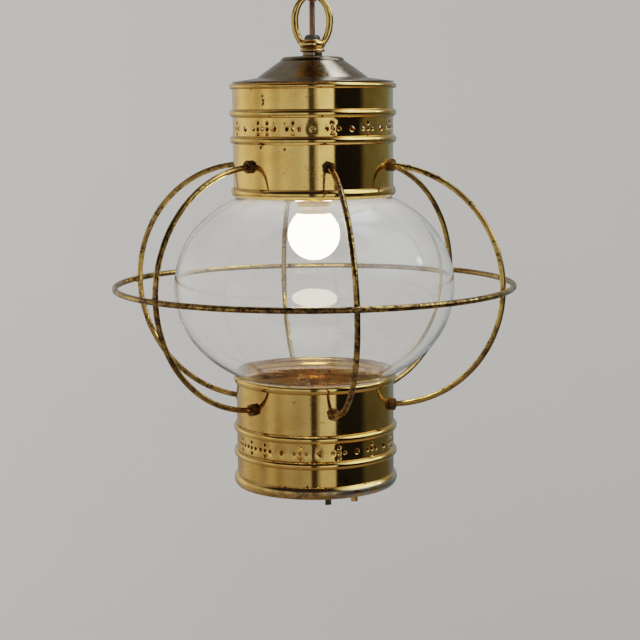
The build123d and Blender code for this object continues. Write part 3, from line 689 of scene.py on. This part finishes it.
def hexagon_nuts():
    """Chamfered nuts on the rib ends, each turned a little its own way."""
    verts, faces = [], []
    sides = 48
    for side in (1, -1):
        for rib in RIB_AZIMUTHS:
            azimuth = lean(rib, side * RIB_BEND)
            outward, sideways = outward_and_sideways(azimuth)
            at = place(azimuth, WALL_R + 0.05, side * RIB_BEND)
            spin = radians(30 + rng.uniform(-14, 14))
            turns = [2 * pi * k / sides for k in range(sides)]
            rings = [(depth, [nut_radius(t, chamfer) for t in turns])
                     for depth, chamfer in ((0, 0.35), (0.45, 0), (NUT_THICK - 0.45, 0), (NUT_THICK, 0.5))]
            rings += [(depth, [NUT_BORE] * sides) for depth in (NUT_THICK, 0)]
            base = len(verts)
            for depth, ring in rings:
                for t, r in zip(turns, ring):
                    p = sideways * (r * cos(t + spin)) + UPWARD * (r * sin(t + spin))
                    verts.append(at + (p + outward * depth) * MM)
            for j in range(len(rings)):
                lower, upper = base + j * sides, base + (j + 1) % len(rings) * sides
                for k in range(sides):
                    n = (k + 1) % sides
                    faces.append([lower + k, lower + n, upper + n, upper + k])
    return make_object("outer_cage_nuts", verts, faces, nut_brass, sharp=25)


for i, azimuth in enumerate(RIB_AZIMUTHS):
    rod = tube(f"cage_rib_{i + 1}", rib_points(azimuth), RIB_WIRE * MM, cage_brass, wobble=WOBBLE,
               side=outward_and_sideways(azimuth)[1])
    settle(rod, "lantern", "cage_brass", f"rib_{i + 1}")

hoop = tube("waist_hoop", [place(360 * k / 288, RING_R, RING_H) for k in range(288)],
            RING_WIRE * MM, cage_brass, closed=True, wobble=WOBBLE)
settle(hoop, "lantern", "cage_brass", "equator_ring")
settle(brazed_joints(), "lantern", "cage_brass", "ring_solder_joints")
settle(hexagon_nuts(), "lantern", "cage_brass", "outer_rib_nuts")


# ---------------------------------------------------------------- cap
def smooth_through(points, steps):
    """A Catmull-Rom line through the points, with steps between one and the next."""
    line = []
    last = len(points) - 1
    for i in range(last):
        p0, p1, p2, p3 = (Vector(points[max(0, min(last, i + k))]) for k in (-1, 0, 1, 2))
        for s in range(steps):
            t = s / steps
            line.append(tuple(0.5 * (2 * p1 + (p2 - p0) * t + (2 * p0 - 5 * p1 + 4 * p2 - p3) * t**2
                                     + (3 * p1 - p0 - 3 * p2 + p3) * t**3)))
    return line + [points[-1]]


dome = smooth_through([(55.5, 205.2), (51.2, 208.6), (46.6, 212.0), (39.0, 217.4), (34.6, 220.4),
                       (31.8, 222.1), (28.0, 222.6), (17.0, 222.75), (5.2, 222.9)], 6)
top_face = [(80.3, 201.75), (72, 202.83), (64, 203.98), (57.5, 204.92)] + dome
under = [(max(r - 0.3, 5.2), h - 1.1) for r, h in top_face]
edge = [(80.45, 200.6), (80.6, 200.9), (80.6, 201.4)]
lid = lathe("cap_dome", top_face + under[::-1] + edge, bronze_cap, segments=224, sharp=35)
settle(lid, "lantern", "bronze_cap", "top_cap")

vase = [(5.2, 223.1), (28.0, 222.8)] + arc3((31.7, 222.35), (30.3, 224.7), (27.4, 225.8), 10)
vase += [(20.0, 226.4), (12.0, 226.8), (5.2, 226.8)]
settle(lathe("vase_disc", vase, bronze_cap, sharp=30), "lantern", "bronze_cap", "vase_cap")
spacer = rounded([(5.0, 226.9), (9.8, 226.9), (9.8, 230.3), (5.0, 230.3)], 0.4)
settle(lathe("dark_neck", spacer, bronze_cap, segments=96), "lantern", "bronze_cap", "neck_spacer")
bead_ring = arc3((10.7, 230.5), (12.4, 232.2), (10.7, 233.9), 14)
bead_ring += [(6.7, 233.9), (5.0, 233.4), (5.0, 231.0), (6.7, 230.5)]
settle(lathe("check_disc", bead_ring, loop_brass, segments=112), "lantern", "loop_brass", "check_ring")
bushing = [(3.1, 242.05), (8.0, 242.05)] + arc3((8.0, 243.2), (7.0, 246.1), (4.2, 247.6), 12)
bushing += [(3.5, 247.5), (3.1, 247.0)]
settle(lathe("bushing_dome", bushing, black_phenolic, segments=96), "lantern", "bronze_cap", "cord_bushing")


# ---------------------------------------------------------------- cast hanging loop
def cast_loop():
    """A casting with softened edges and a faintly uneven skin, from the CAD loop's own shape."""
    source = frame["nodes"]["hanging_loop"]
    obj = bpy.data.objects.new("cast_loop", source.data.copy())
    obj.data.transform(source.matrix_world)
    bpy.context.scene.collection.objects.link(obj)
    remesh = obj.modifiers.new("skin", "REMESH")
    remesh.mode = "VOXEL"
    remesh.voxel_size = 0.4 * MM
    soften = obj.modifiers.new("soften", "SMOOTH")
    soften.factor = 0.5
    soften.iterations = 10
    apply_modifiers(obj)
    obj.data.shade_smooth()
    outwards = [v.normal.copy() for v in obj.data.vertices]    # all read before a vertex moves, to be quick
    for v, outward in zip(obj.data.vertices, outwards):
        v.co += outward * (noise.noise(v.co * 160) * 0.12 * MM)
    obj.data.materials.clear()
    obj.data.materials.append(loop_brass.material)
    settle(obj, "lantern", "loop_brass", "hanging_loop")


cast_loop()

# ---------------------------------------------------------------- bulb
BULB_R, BULB_MIDDLE, BULB_WALL = 26.0, 50.2, 0.8
ball_line = [(BULB_R * sin(a), BULB_MIDDLE - BULB_R * cos(a))
             for a in [radians(132) * k / 48 for k in range(49)]]
throat_from, throat_to = Vector(ball_line[-1]), Vector((12.4, 79.6))
throat_way = Vector((-cos(radians(48)), sin(radians(48))))
for k in range(1, 17):
    ball_line.append(tuple(cubic(throat_from, throat_from + throat_way * 5.5, throat_to - Vector((0, 5.5)),
                                 throat_to, k / 16)))
inner = [(max(0, r - BULB_WALL), h + (BULB_WALL if r < 20 and h < 40 else 0)) for r, h in ball_line]
bulb = lathe("bulb_globe", ball_line + inner[::-1], bulb_frost, segments=128, sharp=60)
settle(bulb, "bulb", "bulb_frost", "bulb_glass")

# ---------------------------------------------------------------- CAD pieces that keep their shape
finishes = {
    "inner_brass": inner_brass, "zinc_steel": zinc_steel, "dark_steel": dark_steel, "solder": solder,
    "green_screw": green_screw, "black_phenolic": black_phenolic, "fibre_liner": fibre_liner, "cork": cork,
    "polished_brass": polished_brass, "cage_brass": cage_brass, "bronze_cap": bronze_cap,
    "loop_brass": loop_brass, "canopy_brass": canopy_brass, "clear_glass": globe_glass,
    "bulb_frost": bulb_frost, "stem_glass": stem_glass, "cord_jacket": cord_jacket,
}
for row in frame["record"]["subparts"]:
    node = frame["nodes"][row["node"]]
    node.data.materials.clear()
    node.data.materials.append(finishes[row["material_slot"]].material)


# ---------------------------------------------------------------- stage and light
paper = Nodes("studio_paper")
paper.set(Base_Color=paper.mix(paper.noise(3, 3), (0.82, 0.81, 0.79), (0.7954, 0.7857, 0.7663)),
          Roughness=0.9)
ROOM_R, FLOOR_Z, DOME_Z, COVE = 3.1, -2.9, 0.9, 0.9      # a round room with a coved floor and a domed top
room_line = [(0.0, FLOOR_Z), (0.8, FLOOR_Z), (1.5, FLOOR_Z)]
room_line += [(ROOM_R - COVE + COVE * sin(radians(a)), FLOOR_Z + COVE - COVE * cos(radians(a)))
              for a in range(0, 91, 6)]
room_line += [(ROOM_R, -1.2), (ROOM_R, -0.2)]
room_line += [(ROOM_R * cos(radians(a)), DOME_Z + ROOM_R * sin(radians(a))) for a in range(0, 90, 6)]
room_line += [(0.0, DOME_Z + ROOM_R)]
room = lathe("studio_room", [(r / MM, (z - MIDDLE_Z) / MM) for r, z in room_line], paper, closed=False,
             segments=96, sharp=50)
room.visible_glossy = False
room.visible_diffuse = False
room.visible_shadow = False


def area_light(name, at, towards, size, power, colour):
    """A soft lamp that lights the studio but isn't mirrored in the brass."""
    data = bpy.data.lights.new(name, "AREA")
    data.shape = "RECTANGLE"
    data.size, data.size_y = size
    data.energy = power
    data.color = colour
    light = bpy.data.objects.new(name, data)
    light.location = at
    light.rotation_euler = (Vector(towards) - Vector(at)).to_track_quat("-Z", "Y").to_euler()
    light.visible_glossy = False
    light.visible_transmission = False
    bpy.context.scene.collection.objects.link(light)


LANTERN = (0, 0, MIDDLE_Z)
area_light("key_left", (-1.5, -1.3, 0.5), LANTERN, (0.7, 1.6), 40, (1.0, 0.95, 0.88))
area_light("fill_right", (1.9, -0.6, 0.4), LANTERN, (0.35, 1.4), 20, (0.9, 0.95, 1.0))
area_light("top_soft", (0.1, -0.2, 1.5), LANTERN, (1.2, 1.2), 40, (1.0, 0.97, 0.93))

world = bpy.data.worlds.new("studio_air")
bpy.context.scene.world = world
world.use_nodes = True


class Air(Nodes):
    """The same short way to write nodes, for the world."""

    def __init__(self):
        self.tree = world.node_tree
        self.coords = self.tree.nodes.new("ShaderNodeTexCoord").outputs["Generated"]

    def bands(self, value, stops):
        """A colour from stops of (value from -1 to 1, colour)."""
        node = self.put("ValToRGB")
        node.color_ramp.interpolation = "EASE"
        share = self.put("MapRange", Value=value, From_Min=-1).outputs["Result"]
        self.feed(node.inputs["Fac"], share)
        elements = node.color_ramp.elements
        while len(elements) < len(stops):
            elements.new(0.5)
        for element, (at, colour) in zip(elements, stops):
            element.position = (at + 1) / 2
            element.color = (*colour, 1)
        return node.outputs["Color"]

    def glow(self, way, inner, outer):
        """1 near a direction and 0 away from it, by angles in degrees."""
        return self.ramp(self.compare("DOT_PRODUCT", Vector(way).normalized()), cos(radians(outer)),
                         cos(radians(inner)))


def grey(level, warm=0.0):
    """A light level, warmer, or cooler where warm is below 0."""
    return (level * (1 + warm), level, level * (1 - warm))


# Light and dark bands round the lantern by azimuth, which its drums mirror, under a dim ceiling with lamps.
air = Air()
frontwards = air.maths("MULTIPLY", air.axis("Y"), -1.0)
around = air.maths("DIVIDE", air.maths("ARCTAN2", air.axis("X"), frontwards), pi)
walls = air.bands(around, [(degrees / 180, colour) for degrees, colour in [
    (-180, grey(0.30)), (-150, grey(0.50, 0.08)), (-120, grey(0.88, 0.10)), (-100, grey(0.70, 0.10)),
    (-82, grey(0.50, 0.08)), (-68, grey(0.80, 0.08)), (-54, grey(0.48, 0.08)), (-42, grey(0.60, 0.08)),
    (-24, grey(0.50, 0.04)), (-8, grey(0.66)), (-4.5, grey(0.06)), (1.0, grey(0.07)), (3.5, grey(0.36)),
    (9, grey(0.92)), (28, grey(1.05)), (31.3, grey(0.012)), (68, grey(0.016)), (82, (0.12, 0.13, 0.10)),
    (128, (0.16, 0.18, 0.15)), (146, grey(0.30, -0.25)), (180, grey(0.30)),
]])
height = air.axis("Z")
overhead = air.ramp(height, 0.14, 0.36)
behind = air.ramp(air.axis("Y"), -0.35, 0.12)
cap_light = air.glow((0.23, 0.41, 0.88), 5, 17)
ring_light = air.glow((0.80, -0.12, 0.52), 10, 42)
ceiling = air.mix(behind, grey(0.03), grey(0.30, 0.05))
ceiling = air.mix(cap_light, ceiling, grey(4.5, -0.1))
ceiling = air.mix(air.glow((0.45, 0.07, 0.89), 3, 9), ceiling, grey(4.0, -0.3))
ceiling = air.mix(ring_light, ceiling, grey(2.2, -0.04))
shade = air.ramp(height, -0.25, -0.05, 0.45, 0.0)
walls = air.mix(shade, walls, grey(0.02))
room_light = air.mix(overhead, walls, ceiling)
room_light = air.mix(air.glow((0.91, 0.24, 0.34), 1.5, 4), room_light, grey(9.0, -0.1))
below = air.ramp(height, -0.75, -0.35, 1.0, 0.0)
room_light = air.mix(below, room_light, grey(0.22, 0.15))
world.node_tree.links.new(room_light, world.node_tree.nodes["Background"].inputs["Color"])
bpy.context.scene.view_settings.view_transform = "Filmic"
bpy.context.scene.view_settings.look = "Medium High Contrast"
